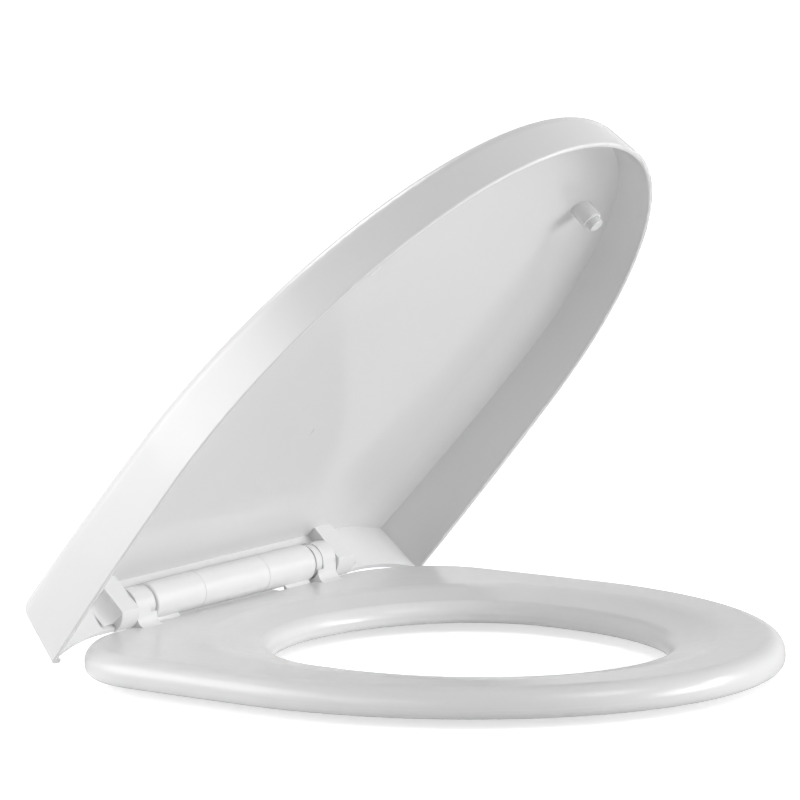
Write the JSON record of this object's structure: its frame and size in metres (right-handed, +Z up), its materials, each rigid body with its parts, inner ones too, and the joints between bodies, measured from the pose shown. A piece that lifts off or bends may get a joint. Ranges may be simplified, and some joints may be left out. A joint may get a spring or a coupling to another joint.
{
  "type": "toilet seat",
  "caption": "White toilet seat ring under a wrap-over lid that stands part open, joined by a soft-closing barrel hinge with bolt-down feet.",
  "frame": {"origin": "midway between the two fixing holes, on the plane of the pan's rim", "axes": "+Z up, -Y towards the front of the seat, +X along the hinge line towards the right as seen from the front"},
  "size_m": [0.372, 0.428, 0.3501],
  "materials": {
    "white_moulding": "high gloss white thermoset",
    "white_plastic": "satin white injection moulding",
    "clear_rubber": "pale soft rubber",
    "black_plastic": "matt black",
    "steel": "turned stainless steel",
    "natural_nylon": "natural nylon",
    "brass": "turned brass"
  },
  "bodies": {
    "hinge": {"left_hinge_body": "white_plastic", "right_hinge_body": "white_plastic", "barrel_sleeve": "white_plastic", "left_damper": "black_plastic", "right_damper": "black_plastic", "left_washer": "natural_nylon", "right_washer": "natural_nylon", "left_threaded_insert": "brass", "right_threaded_insert": "brass"},
    "seat": {"seat_ring": "white_moulding", "left_rear_bumper": "clear_rubber", "right_rear_bumper": "clear_rubber", "left_front_bumper": "clear_rubber", "right_front_bumper": "clear_rubber", "left_knuckle_bush": "natural_nylon", "right_damper_shaft": "steel"},
    "lid": {"lid": "white_moulding", "left_lid_bumper": "clear_rubber", "right_lid_bumper": "clear_rubber", "right_lug_bush": "natural_nylon", "left_damper_shaft": "steel"}
  },
  "joints": [
    {"name": "seat_lift", "type": "hinge", "parent": "hinge", "child": "seat", "pos_m": [0, 0, 0.0372], "axis": [-1, 0, 0], "range_deg": [0, 91]},
    {"name": "lid_lift", "type": "hinge", "parent": "seat", "child": "lid", "pos_m": [0, 0, 0.0372], "axis": [-1, 0, 0], "range_deg": [-47.2, 49]}
  ]
}
